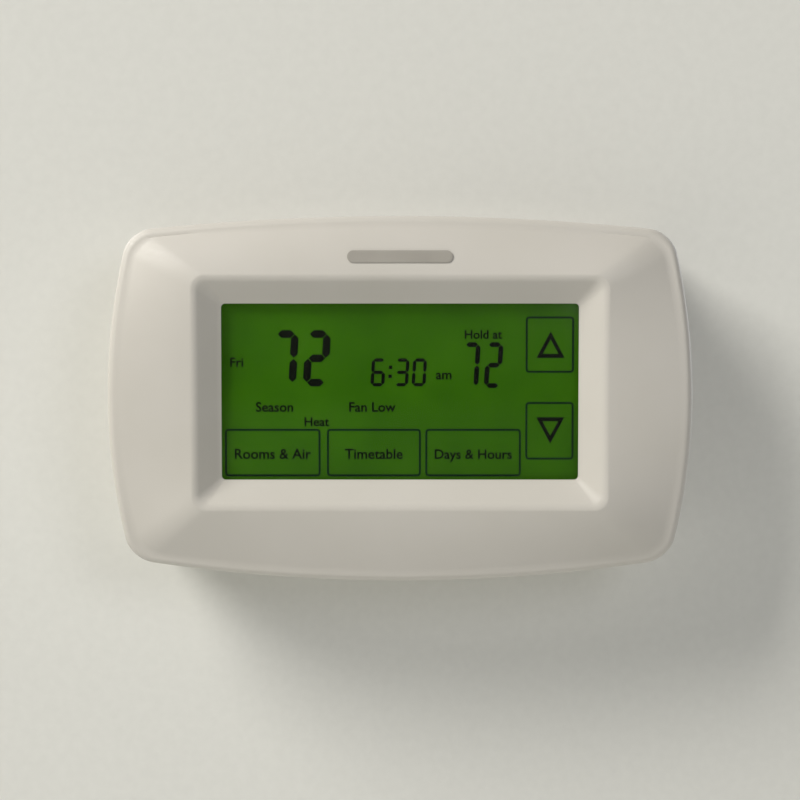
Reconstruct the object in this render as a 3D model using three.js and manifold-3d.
// Touch-screen wall thermostat, in millimetres. The model is built lying on the wall: x runs to the right,
// y runs up and z runs out of the wall into the room. The last lines stand it up, with +Z up and the
// screen facing -Y. The origin is the middle of the wallplate's back, on the wall.
import * as THREE from "three";
import { LoftGeometry } from "three/addons/geometries/LoftGeometry.js";
import { mergeVertices } from "three/addons/utils/BufferGeometryUtils.js";
import Module from "manifold-3d";

const wasm = await Module();
wasm.setup();

// Outline of the front cover, the largest piece
const width = 145;
const height = 91;
const cornerRadius = 6;
const sideBow = 5;
const topBow = 3.8;
const bottomBow = 5;
const sideDrop = 2.5;
const endDrop = 4.5;
const edgeRound = 2;

// Window and the sloping recess round it
const windowWidth = 88.5;
const windowHeight = 43.8;
const windowRadius = 1;
const recessRun = 7.3;
const recessDepth = 4.9;
const recessRise = 2;
const ridgeRadius = 3.5;

// Walls and clearances
const gap = 0.3;
const wall = 1.8;
const frontWall = 2.2;
const innerWall = 1.2;
const overhang = 2.6;
const seamInset = 1;
const skirtLift = 0.6;

// Wallplate
const plateThickness = 2;
const plateClearance = 0.6;
const wireOpening = { left: 8, right: 44, halfHeight: 13, radius: 3 };
const wallSlot = { x: 56, y: 31, length: 10, width: 4.4, seatLength: 14, seatWidth: 8.4, seat: 1 };
const tongue = { width: 12, thickness: 1.2, height: 9, shortHeight: 4.9 };
const screwHeadRoom = 3.2;

// Battery drawer with its AA cells
const cellCount = 3;
const cellDiameter = 14.5;
const cellLength = 50.5;
const cellGap = 0.4;
const drawerWall = 1;
const springLength = 4.4;
const contactThickness = 0.5;

// Terminals
const terminalPitch = 9;
const terminalsPerRow = 3;
const cageTravel = 2.4;
const terminalBody = { depth: 13.5, height: 13.3, rim: 1.4, floor: 1 };
const cage = { width: 6.2, depth: 5.6, bar: 1, side: 1, height: 6 };
const screwThread = 1.3;
const screwHead = { radius: 2.7, height: 1.5, slot: 0.8 };
const contactWidth = 3.6;
const contactSheet = 0.8;

// Electronics
const boardThickness = 1.6;
const panelThickness = 1.2;
const lcdThickness = 2.2;
const guideThickness = 2.6;
const relaySize = { x: 15, y: 7.6, z: 10 };
const capacitor = { radius: 4, height: 9 };
const headerBar = 2.4;

// Levels out of the wall, from the back to the front
const bayBack = plateThickness + skirtLift;
const drawerBack = bayBack + innerWall + gap;
const cellBack = drawerBack + drawerWall + gap;
const cellFront = cellBack + cellDiameter;
const bayFront = cellFront + cellGap;
const boardBack = bayFront + innerWall + 3 * gap;
const boardFront = boardBack + boardThickness;
const guideBack = boardFront + gap;
const guideFront = guideBack + guideThickness;
const lcdBack = guideFront + gap;
const lcdFront = lcdBack + lcdThickness;
const panelBack = lcdFront + gap;
const panelFront = panelBack + panelThickness;
const ledge = panelFront + gap;
const depth = panelFront + recessDepth;
const seam = bayFront - gap / 3;
const stripBack = plateThickness + screwHeadRoom;
const blockBack = plateThickness + gap;
const blockFront = blockBack + terminalBody.height;
const deckBack = blockFront + screwHeadRoom / 2;
const partBack = boardBack - gap;
const caseScrewTip = ledge - 4.9;
const boardScrewTip = ledge - 0.4;

// Places across the wall
const halfX = width / 2;
const halfY = height / 2;
const ridgeX = windowWidth / 2 + recessRun;
const ridgeY = windowHeight / 2 + recessRun;
const cellPitch = cellDiameter + cellGap;
const trayHalf = ((cellCount - 1) * cellPitch + cellDiameter) / 2 + gap + drawerWall;
const bayHalf = trayHalf + gap;
const faceBack = -(halfX - overhang - 3.4);
const trayEnd = faceBack + cellLength + springLength + contactThickness + 4 * gap;
const bayEnd = trayEnd + drawerWall + gap;
const caseScrewX = halfX - 11.5;
const caseScrewY = halfY - 10.9;
const boardScrewX = halfX - 18;
const boardScrewY = bayHalf + innerWall + gap + screwHead.radius;
const terminalX = (wireOpening.left + wireOpening.right) / 2;
const terminalY = wireOpening.halfHeight + 0.5 + terminalBody.rim + gap + cage.depth / 2;
const pinY = terminalY + cage.depth / 2 + 2 * gap + contactSheet + 2 * gap + 0.5;
const panelHalfX = windowWidth / 2 + 4.25;
const panelHalfY = windowHeight / 2 + 4.1;
const far = 200;

// ---- Shape helpers -------------------------------------------------------------------------------

function solidOf(geometry) {
  const bare = new THREE.BufferGeometry()
    .setAttribute("position", geometry.getAttribute("position"))
    .setIndex(geometry.index);
  const merged = mergeVertices(bare, 1e-4);
  return new wasm.Manifold(
    new wasm.Mesh({
      numProp: 3,
      vertProperties: merged.attributes.position.array,
      triVerts: new Uint32Array(merged.index.array),
    }),
  );
}

function geometryOf(solid) {
  const mesh = solid.getMesh();
  return new THREE.BufferGeometry()
    .setAttribute("position", new THREE.BufferAttribute(mesh.vertProperties, 3))
    .setIndex(new THREE.BufferAttribute(mesh.triVerts, 1));
}

const join = (...parts) => geometryOf(parts.map(solidOf).reduce((a, b) => a.add(b)));
const cut = (...parts) => geometryOf(parts.map(solidOf).reduce((a, b) => a.subtract(b)));
const common = (...parts) => geometryOf(parts.map(solidOf).reduce((a, b) => a.intersect(b)));

// A box between two corners, given as pairs of limits in any order.
function block([x0, x1], [y0, y1], [z0, z1]) {
  return new THREE.BoxGeometry(Math.abs(x1 - x0), Math.abs(y1 - y0), Math.abs(z1 - z0)).translate(
    (x0 + x1) / 2,
    (y0 + y1) / 2,
    (z0 + z1) / 2,
  );
}

// A round bar standing out of the wall.
function rod(x, y, radius, [z0, z1], sides = 20) {
  return new THREE.CylinderGeometry(radius, radius, z1 - z0, sides)
    .rotateX(Math.PI / 2)
    .translate(x, y, (z0 + z1) / 2);
}

function slab(shape, [z0, z1]) {
  const settings = { depth: z1 - z0, bevelEnabled: false, curveSegments: 6 };
  return new THREE.ExtrudeGeometry(shape, settings).translate(0, 0, z0);
}

// Points round a rectangle with round corners, anticlockwise from the right side.
function roundedRectangle(spanX, spanY, radius, cornerSteps = 7, sideSteps = 18) {
  const corners = [[1, 1], [-1, 1], [-1, -1], [1, -1]].map(([sideX, sideY], turn) =>
    new THREE.EllipseCurve(
      sideX * (spanX - radius),
      sideY * (spanY - radius),
      radius,
      radius,
      (turn * Math.PI) / 2,
      ((turn + 1) * Math.PI) / 2,
    ).getPoints(cornerSteps),
  );
  return corners.flatMap((corner, turn) => {
    const next = corners[(turn + 1) % 4];
    const side = new THREE.LineCurve(corner.at(-1), next[0]).getPoints(sideSteps);
    return [...corner, ...side.slice(1, -1)];
  });
}

// A ring of the head's outline. bow is the share of the outline's bulge that the ring has, rise moves it
// up, and lift gives its height out of the wall from u and v, which run from -1 to 1 across it.
function bowedRing({ spanX, spanY, radius, bow, rise = 0, lift }) {
  return roundedRectangle(spanX, spanY, radius).map((point) => {
    const u = point.x / spanX;
    const v = point.y / spanY;
    const endBow = point.y > 0 ? topBow : bottomBow;
    return new THREE.Vector3(
      point.x - u * v * v * bow * sideBow,
      point.y - v * u * u * bow * endBow + rise,
      lift(u, v),
    );
  });
}

function outline(inset) {
  const ring = bowedRing({
    spanX: halfX - inset,
    spanY: halfY - inset,
    radius: Math.max(cornerRadius - inset, 1),
    bow: 1,
    lift: () => 0,
  });
  return new THREE.Shape(ring.map((point) => new THREE.Vector2(point.x, point.y)));
}

function band(outerInset, innerInset, levels) {
  const [z0, z1] = levels;
  return cut(slab(outline(outerInset), levels), slab(outline(innerInset), [z0 - 1, z1 + 1]));
}

function plainRectangle(spanX, spanY, radius, x = 0, y = 0) {
  const points = roundedRectangle(spanX, spanY, radius, 3, 1);
  return new THREE.Shape(points.map((point) => new THREE.Vector2(point.x + x, point.y + y)));
}

const corners = [[-1, 1], [1, 1], [-1, -1], [1, -1]];

// ---- Front cover -----------------------------------------------------------------------------------

// The bezel's face at a share t of the way from the ridge to the outer edge, fuller towards the edge.
function bezelFace(t, u, v) {
  return depth - (sideDrop * u * u + endDrop * v * v) * (0.55 * t + 0.45 * t * t);
}

function bezelRing(t, inset, below) {
  return bowedRing({
    spanX: THREE.MathUtils.lerp(ridgeX, halfX, t) - inset,
    spanY: THREE.MathUtils.lerp(ridgeY, halfY, t) - inset,
    radius: Math.max(THREE.MathUtils.lerp(ridgeRadius, cornerRadius, t) - inset / 2, 1),
    bow: t,
    rise: recessRise * (1 - t),
    lift: (u, v) => bezelFace(t, u, v) - below,
  });
}

function levelRing(spanX, spanY, radius, level) {
  return bowedRing({ spanX, spanY, radius, bow: 0, rise: recessRise, lift: () => level });
}

function seamRing(inset) {
  return bowedRing({
    spanX: halfX - inset,
    spanY: halfY - inset,
    radius: Math.max(cornerRadius - inset, 1),
    bow: 1,
    lift: () => seam + gap,
  });
}

function frontCover() {
  const windowX = windowWidth / 2;
  const windowY = windowHeight / 2;
  const sections = [
    seamRing(seamInset),
    bezelRing(1, 0, edgeRound),
    bezelRing(1, 0.3 * edgeRound, 0.3 * edgeRound),
    bezelRing(1, edgeRound, 0),
    bezelRing(0.6, 0, 0),
    bezelRing(0.25, 0, 0),
    bezelRing(0, 0, 0.1),
    bezelRing(0, 1.2, 0.6),
    levelRing(windowX + 0.3, windowY + 0.3, windowRadius, ledge + 0.5),
    levelRing(windowX, windowY, windowRadius, ledge),
    levelRing(panelHalfX + 1, panelHalfY + 1, ridgeRadius, ledge),
    bezelRing(0.03, 0, frontWall + 0.6),
    bezelRing(0.5, 0, frontWall),
    bezelRing(1, frontWall + 0.6, frontWall + 0.4),
    seamRing(seamInset + frontWall),
  ];
  const shell = new LoftGeometry([...sections, sections[0]]);
  const posts = corners.flatMap(([sideX, sideY]) => [
    rod(sideX * caseScrewX, sideY * caseScrewY, 3, [seam + gap, caseScrewTip + 2.5]),
    rod(sideX * boardScrewX, sideY * boardScrewY, 2.5, [boardFront + gap, boardScrewTip + 2.5]),
  ]);
  const holes = corners.flatMap(([sideX, sideY]) => [
    rod(sideX * caseScrewX, sideY * caseScrewY, screwThread + gap, [seam, caseScrewTip + gap]),
    rod(sideX * boardScrewX, sideY * boardScrewY, screwThread + gap, [boardFront, boardScrewTip + gap]),
  ]);
  return cut(join(shell, ...posts), ...holes);
}

// ---- Rear cover, which holds the battery bay and goes over the terminals ----------------------------

function rearCover() {
  const skirt = band(overhang, overhang + wall, [skirtLift, seam]);
  const inside = slab(outline(overhang + wall - 0.2), [bayBack, boardBack]);
  const stripFront = stripBack + innerWall;
  const bayWallFront = bayFront + innerWall;
  const partition = [bayEnd, bayEnd + innerWall];
  const partitionEdge = partition[1];
  const bayWidth = [-far, partitionEdge];
  const bayOuter = bayHalf + innerWall;
  const walls = [
    block(bayWidth, [-bayOuter, bayOuter], [bayBack, bayBack + innerWall]),
    block(bayWidth, [-bayOuter, bayOuter], [bayFront, bayWallFront]),
    block(bayWidth, [bayHalf, bayOuter], [bayBack, bayWallFront]),
    block(bayWidth, [-bayHalf, -bayOuter], [bayBack, bayWallFront]),
    block(bayWidth, [bayHalf, far], [stripBack, stripFront]),
    block(bayWidth, [-bayHalf, -far], [stripBack, stripFront]),
    block(partition, [-bayOuter, bayOuter], [bayBack, bayWallFront]),
    block(partition, [-far, far], [stripBack, deckBack + innerWall]),
    block([bayEnd, far], [-far, far], [deckBack, deckBack + innerWall]),
  ];
  const bosses = corners.map(([sideX, sideY]) =>
    rod(sideX * caseScrewX, sideY * caseScrewY, 3.2, [stripFront + 2.6, seam]),
  );
  const inner = common(join(...walls), inside);
  const shell = join(skirt, inner, ...bosses);
  const drawerMouth = block([-far, bayEnd], [-bayHalf, bayHalf], [drawerBack - gap, bayFront]);
  const screwWays = corners.flatMap(([sideX, sideY]) => [
    rod(sideX * caseScrewX, sideY * caseScrewY, screwThread + gap, [0, seam + 1]),
    rod(sideX * caseScrewX, sideY * caseScrewY, screwHead.radius + gap, [0, stripFront + 2.6]),
  ]);
  const headerLength = (terminalsPerRow * terminalPitch) / 2;
  const pinSlots = [-1, 1].map((side) =>
    block(
      [terminalX - headerLength, terminalX + headerLength],
      [side * (pinY - 1.6), side * (pinY + 1.6)],
      [deckBack - 1, deckBack + innerWall + 1],
    ),
  );
  const vents = [-1, 1].flatMap((side) =>
    [0, 1, 2, 3, 4, 5, 6].map((place) => {
      const x = terminalX - 12 + 6 * place;
      return block([x, x + 2], [side * (halfY - far / 10), side * far], [9, 15]);
    }),
  );
  return cut(shell, drawerMouth, ...screwWays, ...pinSlots, ...vents);
}

// ---- Wallplate ---------------------------------------------------------------------------------------

function wallplate() {
  const base = slab(outline(overhang + wall + plateClearance), [0, plateThickness]);
  const { left, right, halfHeight, radius } = wireOpening;
  const opening = plainRectangle((right - left) / 2, halfHeight, radius, (left + right) / 2);
  const slots = corners.flatMap(([sideX, sideY]) => {
    const through = plainRectangle(
      wallSlot.length / 2,
      wallSlot.width / 2,
      wallSlot.width / 2 - 0.01,
      sideX * wallSlot.x,
      sideY * wallSlot.y,
    );
    const seat = plainRectangle(
      wallSlot.seatLength / 2,
      wallSlot.seatWidth / 2,
      wallSlot.seatWidth / 2 - 0.01,
      sideX * wallSlot.x,
      sideY * wallSlot.y,
    );
    return [slab(through, [-1, plateThickness]), slab(seat, [wallSlot.seat, plateThickness + 1])];
  });
  const guide = overhang + wall + gap;
  const tall = band(guide, guide + tongue.thickness, [0, tongue.height]);
  const short = band(guide, guide + tongue.thickness, [0, tongue.shortHeight]);
  const tongueAt = (x, side) =>
    block([x - tongue.width / 2, x + tongue.width / 2], [0, side * far], [0, far]);
  const tongues = [
    common(tall, join(tongueAt(terminalX, 1), tongueAt(terminalX, -1))),
    common(tall, block([0, far], [-tongue.width, tongue.width], [0, far])),
    common(short, join(tongueAt(bayEnd - 26, 1), tongueAt(bayEnd - 26, -1))),
  ];
  return cut(join(base, ...tongues), slab(opening, [-1, plateThickness + 1]), ...slots);
}

// ---- Terminals. side is 1 for the upper row and -1 for the lower row ---------------------------------

const terminalPlaces = Array.from(
  { length: terminalsPerRow },
  (_, place) => terminalX + (place - (terminalsPerRow - 1) / 2) * terminalPitch,
);
const cageFloor = blockBack + terminalBody.floor + gap;
const cageBack = cageFloor + cageTravel;
const cageFront = cageBack + cage.height;
const tongueBack = cageBack + cage.bar + gap;
const contactFront = cageFront + gap + contactSheet;
const screwSeat = contactFront + gap;

function terminalBlock(side) {
  const near = wireOpening.halfHeight + 0.5;
  const span = (terminalsPerRow * terminalPitch) / 2 + 1;
  const body = block(
    [terminalX - span, terminalX + span],
    [side * near, side * (near + terminalBody.depth)],
    [blockBack, blockFront],
  );
  const wells = terminalPlaces.map((x) =>
    block(
      [x - cage.width / 2 - gap, x + cage.width / 2 + gap],
      [side * (near + terminalBody.rim), side * (pinY + 1)],
      [blockBack + terminalBody.floor, far],
    ),
  );
  const entries = terminalPlaces.map((x) =>
    block([x - 2.1, x + 2.1], [0, side * (near + terminalBody.rim + 1)], [cageFloor + cage.bar, tongueBack]),
  );
  return cut(body, ...wells, ...entries);
}

// The cage is a square brass ring that the wire goes through. The screw turns in its front bar.
function terminalCage() {
  const outside = block(
    [-cage.width / 2, cage.width / 2],
    [-cage.depth / 2, cage.depth / 2],
    [cageBack, cageFront],
  );
  const inside = block(
    [-cage.width / 2 + cage.side, cage.width / 2 - cage.side],
    [-cage.depth, cage.depth],
    [cageBack + cage.bar, cageFront - cage.bar],
  );
  return cut(outside, inside, rod(0, 0, screwThread + gap, [cageFront - 2 * cage.bar, far]));
}

// The fixed contact: the screw's head seats on its front leg and the cage presses a wire to its tongue.
function terminalContact(side) {
  const legNear = cage.depth / 2 + 2 * gap;
  const legFar = legNear + contactSheet;
  const acrossX = [-contactWidth / 2, contactWidth / 2];
  const seat = block(acrossX, [-side * (cage.depth / 2), side * legFar], [cageFront + gap, contactFront]);
  const leg = block(acrossX, [side * legNear, side * legFar], [cageFloor, contactFront]);
  const clampLevels = [tongueBack, tongueBack + contactSheet];
  const clamp = block(acrossX, [-side * (cage.depth / 2), side * legFar], clampLevels);
  return cut(join(seat, leg, clamp), rod(0, 0, screwThread + gap, [cageFront, far]));
}

function screw(length) {
  const head = rod(0, 0, screwHead.radius, [0, screwHead.height]);
  const thread = rod(0, 0, screwThread, [-length, 0.5], 12);
  const slot = block(
    [-screwHead.slot / 2, screwHead.slot / 2],
    [-far, far],
    [screwHead.height / 2, far],
  );
  return cut(join(head, thread), slot);
}

// ---- Battery drawer ------------------------------------------------------------------------------------

function batteryDrawer() {
  const inner = trayHalf - drawerWall;
  const trayBox = [faceBack - 0.5, trayEnd + drawerWall];
  const rimHeight = cellBack + cellDiameter / 2;
  const tray = join(
    block(trayBox, [-trayHalf, trayHalf], [drawerBack, drawerBack + drawerWall]),
    block(trayBox, [inner, trayHalf], [drawerBack, rimHeight]),
    block(trayBox, [-inner, -trayHalf], [drawerBack, rimHeight]),
    block([trayEnd, trayEnd + drawerWall], [-trayHalf, trayHalf], [drawerBack, cellFront]),
    ...[-1, 1].map((side) =>
      block(
        [faceBack - 0.5, trayEnd + 0.5],
        [(side * cellPitch) / 2 - 1, (side * cellPitch) / 2 + 1],
        [drawerBack, cellBack + 1.6],
      ),
    ),
  );
  const face = common(
    block([-far, faceBack], [-trayHalf, trayHalf], [drawerBack, seam]),
    slab(outline(overhang), [0, far]),
  );
  const middle = (drawerBack + seam) / 2;
  const fingerNotch = block([-far, -(halfX - overhang - 1)], [-10, 10], [middle - 2, middle + 2]);
  return cut(join(tray, face), fingerNotch);
}

// An AA cell lying along x, with its button end towards +x.
function cell() {
  const radius = cellDiameter / 2;
  const button = 1.2;
  const profile = [
    [0, 0],
    [radius - 0.4, 0],
    [radius, 0.4],
    [radius, cellLength - button - 0.4],
    [radius - 0.4, cellLength - button],
    [2.7, cellLength - button],
    [2.7, cellLength],
    [0, cellLength],
  ].map(([r, along]) => new THREE.Vector2(r, along));
  return new THREE.LatheGeometry(profile, 24).rotateZ(-Math.PI / 2).translate(-cellLength / 2, 0, 0);
}

// A conical battery spring along x, narrow at its far end.
class ConicalHelix extends THREE.Curve {
  getPoint(t, target = new THREE.Vector3()) {
    const turns = 3.5;
    const wire = 0.35;
    const radius = THREE.MathUtils.lerp(4.6, 2.6, t);
    const angle = turns * 2 * Math.PI * t;
    const along = THREE.MathUtils.lerp(wire + 0.1, springLength - wire - 0.1, t);
    return target.set(along, radius * Math.cos(angle), radius * Math.sin(angle));
  }
}

function batterySpring() {
  const section = new THREE.Shape(
    new THREE.EllipseCurve(0, 0, 0.35, 0.35, 0, 2 * Math.PI).getPoints(6).slice(0, -1),
  );
  const settings = { steps: 36, bevelEnabled: false, extrudePath: new ConicalHelix() };
  return new THREE.ExtrudeGeometry(section, settings);
}

function batteryContact() {
  const sheet = block([0, contactThickness], [-5, 5], [-5, 5]);
  return sheet;
}

// ---- Electronics -----------------------------------------------------------------------------------------

function mainBoard() {
  const boardX = halfX - 9;
  const boardY = halfY - 8.5;
  const sheet = slab(plainRectangle(boardX, boardY, 1), [boardBack, boardFront]);
  const notches = corners.map(([sideX, sideY]) =>
    block(
      [sideX * (caseScrewX - 3.8), sideX * far],
      [sideY * (caseScrewY - 3.8), sideY * far],
      [0, far],
    ),
  );
  const holes = corners.map(([sideX, sideY]) =>
    rod(sideX * boardScrewX, sideY * boardScrewY, screwThread + gap, [0, far], 12),
  );
  return cut(sheet, ...notches, ...holes);
}

function frameRing(outerX, outerY, innerX, innerY, levels) {
  const hole = plainRectangle(innerX, innerY, 0.6, 0, recessRise);
  const [z0, z1] = levels;
  return cut(
    slab(plainRectangle(outerX, outerY, 1.5, 0, recessRise), levels),
    slab(hole, [z0 - 1, z1 + 1]),
  );
}

// A strip that comes off the panel's lower edge and folds back to the board.
function touchTail() {
  const edge = recessRise - panelHalfY - gap;
  const foldY = edge - 2.6;
  return join(
    block([30, 38], [edge, foldY], [panelBack + 0.4, panelBack + 0.7]),
    block([30, 38], [foldY, foldY + gap], [boardFront + gap, panelBack + 0.7]),
  );
}

function pinHeader(side) {
  const span = (terminalsPerRow * terminalPitch) / 2 - 1;
  const bar = block(
    [terminalX - span, terminalX + span],
    [side * (pinY - 1.2), side * (pinY + 1.2)],
    [partBack - headerBar, partBack],
  );
  const pins = terminalPlaces.map((x) =>
    block([x - 0.5, x + 0.5], [side * (pinY - 0.5), side * (pinY + 0.5)], [cageBack + 2, partBack - 1]),
  );
  return join(bar, ...pins);
}

// ---- Assembly ----------------------------------------------------------------------------------------------

const finishes = {
  shell: { color: 0xbdb9b0, roughness: 0.55 },
  darkPlastic: { color: 0x3a3b3c, roughness: 0.6 },
  greyPlastic: { color: 0xa9a69e, roughness: 0.6 },
  glass: { color: 0x2e5a03, roughness: 0.1 },
  lcd: { color: 0x2e5a03, roughness: 0.25 },
  whitePlastic: { color: 0xe6e6e0, roughness: 0.5 },
  board: { color: 0x1d5b34, roughness: 0.5 },
  chip: { color: 0x1b1c1e, roughness: 0.5 },
  relay: { color: 0x2b4f86, roughness: 0.45 },
  steel: { color: 0xb8bbbe, roughness: 0.3, metalness: 1 },
  brass: { color: 0xc9a25a, roughness: 0.35, metalness: 1 },
  flex: { color: 0x9a5a1e, roughness: 0.4 },
  cell: { color: 0x2f3a44, roughness: 0.4 },
  rubber: { color: 0x45464a, roughness: 0.8 },
};

const model = new THREE.Group();

function place(name, geometry, finish, x = 0, y = 0, z = 0) {
  const mesh = new THREE.Mesh(geometry, new THREE.MeshStandardMaterial(finishes[finish]));
  mesh.name = name;
  mesh.position.set(x, y, z);
  model.add(mesh);
  return mesh;
}

// Wallplate and terminals
place("wallplate", wallplate(), "greyPlastic");
for (const [row, side] of [["upper", 1], ["lower", -1]]) {
  place("terminal_block_" + row, terminalBlock(side), "darkPlastic");
  terminalPlaces.forEach((x, index) => {
    const number = index + 1 + (side < 0 ? terminalsPerRow : 0);
    const y = side * terminalY;
    const length = screwSeat - tongueBack - contactSheet - gap;
    place("terminal_screw_" + number, screw(length), "steel", x, y, screwSeat);
    place("terminal_cage_" + number, terminalCage(), "brass", x, y);
    place("terminal_contact_" + number, terminalContact(side), "brass", x, y);
  });
}

// Case
place("front_cover", frontCover(), "shell");
place("rear_cover", rearCover(), "shell");
corners.forEach(([sideX, sideY], index) => {
  const headBack = stripBack + innerWall + 2.6 - gap;
  const caseScrew = place(
    "case_screw_" + (index + 1),
    screw(caseScrewTip - headBack),
    "steel",
    sideX * caseScrewX,
    sideY * caseScrewY,
    headBack,
  );
  caseScrew.rotation.x = Math.PI;
  const boardScrew = place(
    "board_screw_" + (index + 1),
    screw(boardScrewTip - boardBack + gap),
    "steel",
    sideX * boardScrewX,
    sideY * boardScrewY,
    boardBack - gap,
  );
  boardScrew.rotation.x = Math.PI;
});

// Screen stack
const screenBox = (spanX, spanY, levels) => slab(plainRectangle(spanX, spanY, 0.8, 0, recessRise), levels);
place("touch_panel", screenBox(panelHalfX, panelHalfY, [panelBack, panelFront]), "glass");
place("touch_tail", touchTail(), "flex");
place("lcd_cell", screenBox(panelHalfX - 0.5, panelHalfY - 0.5, [lcdBack, lcdFront]), "lcd");
place(
  "lcd_frame",
  frameRing(panelHalfX + 2, panelHalfY + 2, panelHalfX + 0.4, panelHalfY + 0.4, [guideBack, lcdFront]),
  "whitePlastic",
);
const guideLow = recessRise - panelHalfY + 4;
const guideHigh = recessRise + panelHalfY - 1.5;
place(
  "backlight_guide",
  block([-panelHalfX + 2.6, panelHalfX - 0.5], [guideLow, guideHigh], [guideBack, guideFront]),
  "whitePlastic",
);
[-1, 1].forEach((side, index) => {
  const y = recessRise + side * 11;
  place(
    "backlight_led_" + (index + 1),
    block([-panelHalfX + 0.2, -panelHalfX + 2.2], [y - 2, y + 2], [guideBack, guideFront - 0.4]),
    "whitePlastic",
  );
});
place(
  "lcd_connector",
  block([-40, 40], [guideLow - 2.6, guideLow - 0.6], [guideBack, guideFront]),
  "rubber",
);

// Main board and what it carries
const stripEdge = bayHalf + innerWall + 1;
const stripY = stripEdge + relaySize.y / 2;
place("main_board", mainBoard(), "board");
const relay = () =>
  block(
    [-relaySize.x / 2, relaySize.x / 2],
    [-relaySize.y / 2, relaySize.y / 2],
    [partBack - relaySize.z, partBack],
  );
const relayX = bayEnd - 1 - relaySize.x / 2;
place("relay_1", relay(), "relay", relayX - relaySize.x - 2, stripY);
place("relay_2", relay(), "relay", relayX, stripY);
place("relay_3", relay(), "relay", relayX - relaySize.x - 2, -stripY);
const capacitorLevels = [partBack - capacitor.height, partBack];
place(
  "backup_capacitor",
  rod(relayX, -stripEdge - capacitor.radius, capacitor.radius, capacitorLevels),
  "chip",
);
place("microcontroller", block([46, 58], [-6, 6], [partBack - 1.4, partBack]), "chip");
place("crystal", block([46, 54], [9, 12.5], [partBack - 2, partBack]), "steel");
place("buzzer", rod(8, 0, 4.5, [partBack - 2.6, partBack]), "chip");
place("temperature_sensor", rod(38, -halfY + 12, 1.2, [boardFront + gap, boardFront + 3], 12), "chip");
place("pin_header_upper", pinHeader(1), "darkPlastic");
place("pin_header_lower", pinHeader(-1), "darkPlastic");

// Battery drawer: the middle cell lies the other way round
place("battery_drawer", batteryDrawer(), "shell");
Array.from({ length: cellCount }, (_, index) => index).forEach((index) => {
  const y = ((cellCount - 1) / 2 - index) * cellPitch;
  const level = cellBack + cellDiameter / 2;
  const flip = index % 2 ? Math.PI : 0;
  const plateEnd = gap + contactThickness + gap;
  const springEnd = gap + springLength + gap;
  const middle = (faceBack + trayEnd) / 2;
  const shift = (springEnd - plateEnd) / 2;
  const forward = flip ? -1 : 1;
  const cellX = middle + forward * shift;
  const number = index + 1;
  place("battery_" + number, cell(), "cell", cellX, y, level).rotation.z = flip;
  const springX = flip ? trayEnd - gap : faceBack + gap;
  place("battery_spring_" + number, batterySpring(), "steel", springX, y, level).rotation.z = flip;
  const plateX = flip ? faceBack + gap + contactThickness : trayEnd - gap - contactThickness;
  place("battery_contact_" + number, batteryContact(), "steel", plateX, y, level).rotation.z = flip;
});

// Stand the model up: y out of the wall becomes -Y, and up stays up.
model.rotation.x = Math.PI / 2;

export default new THREE.Group().add(model);
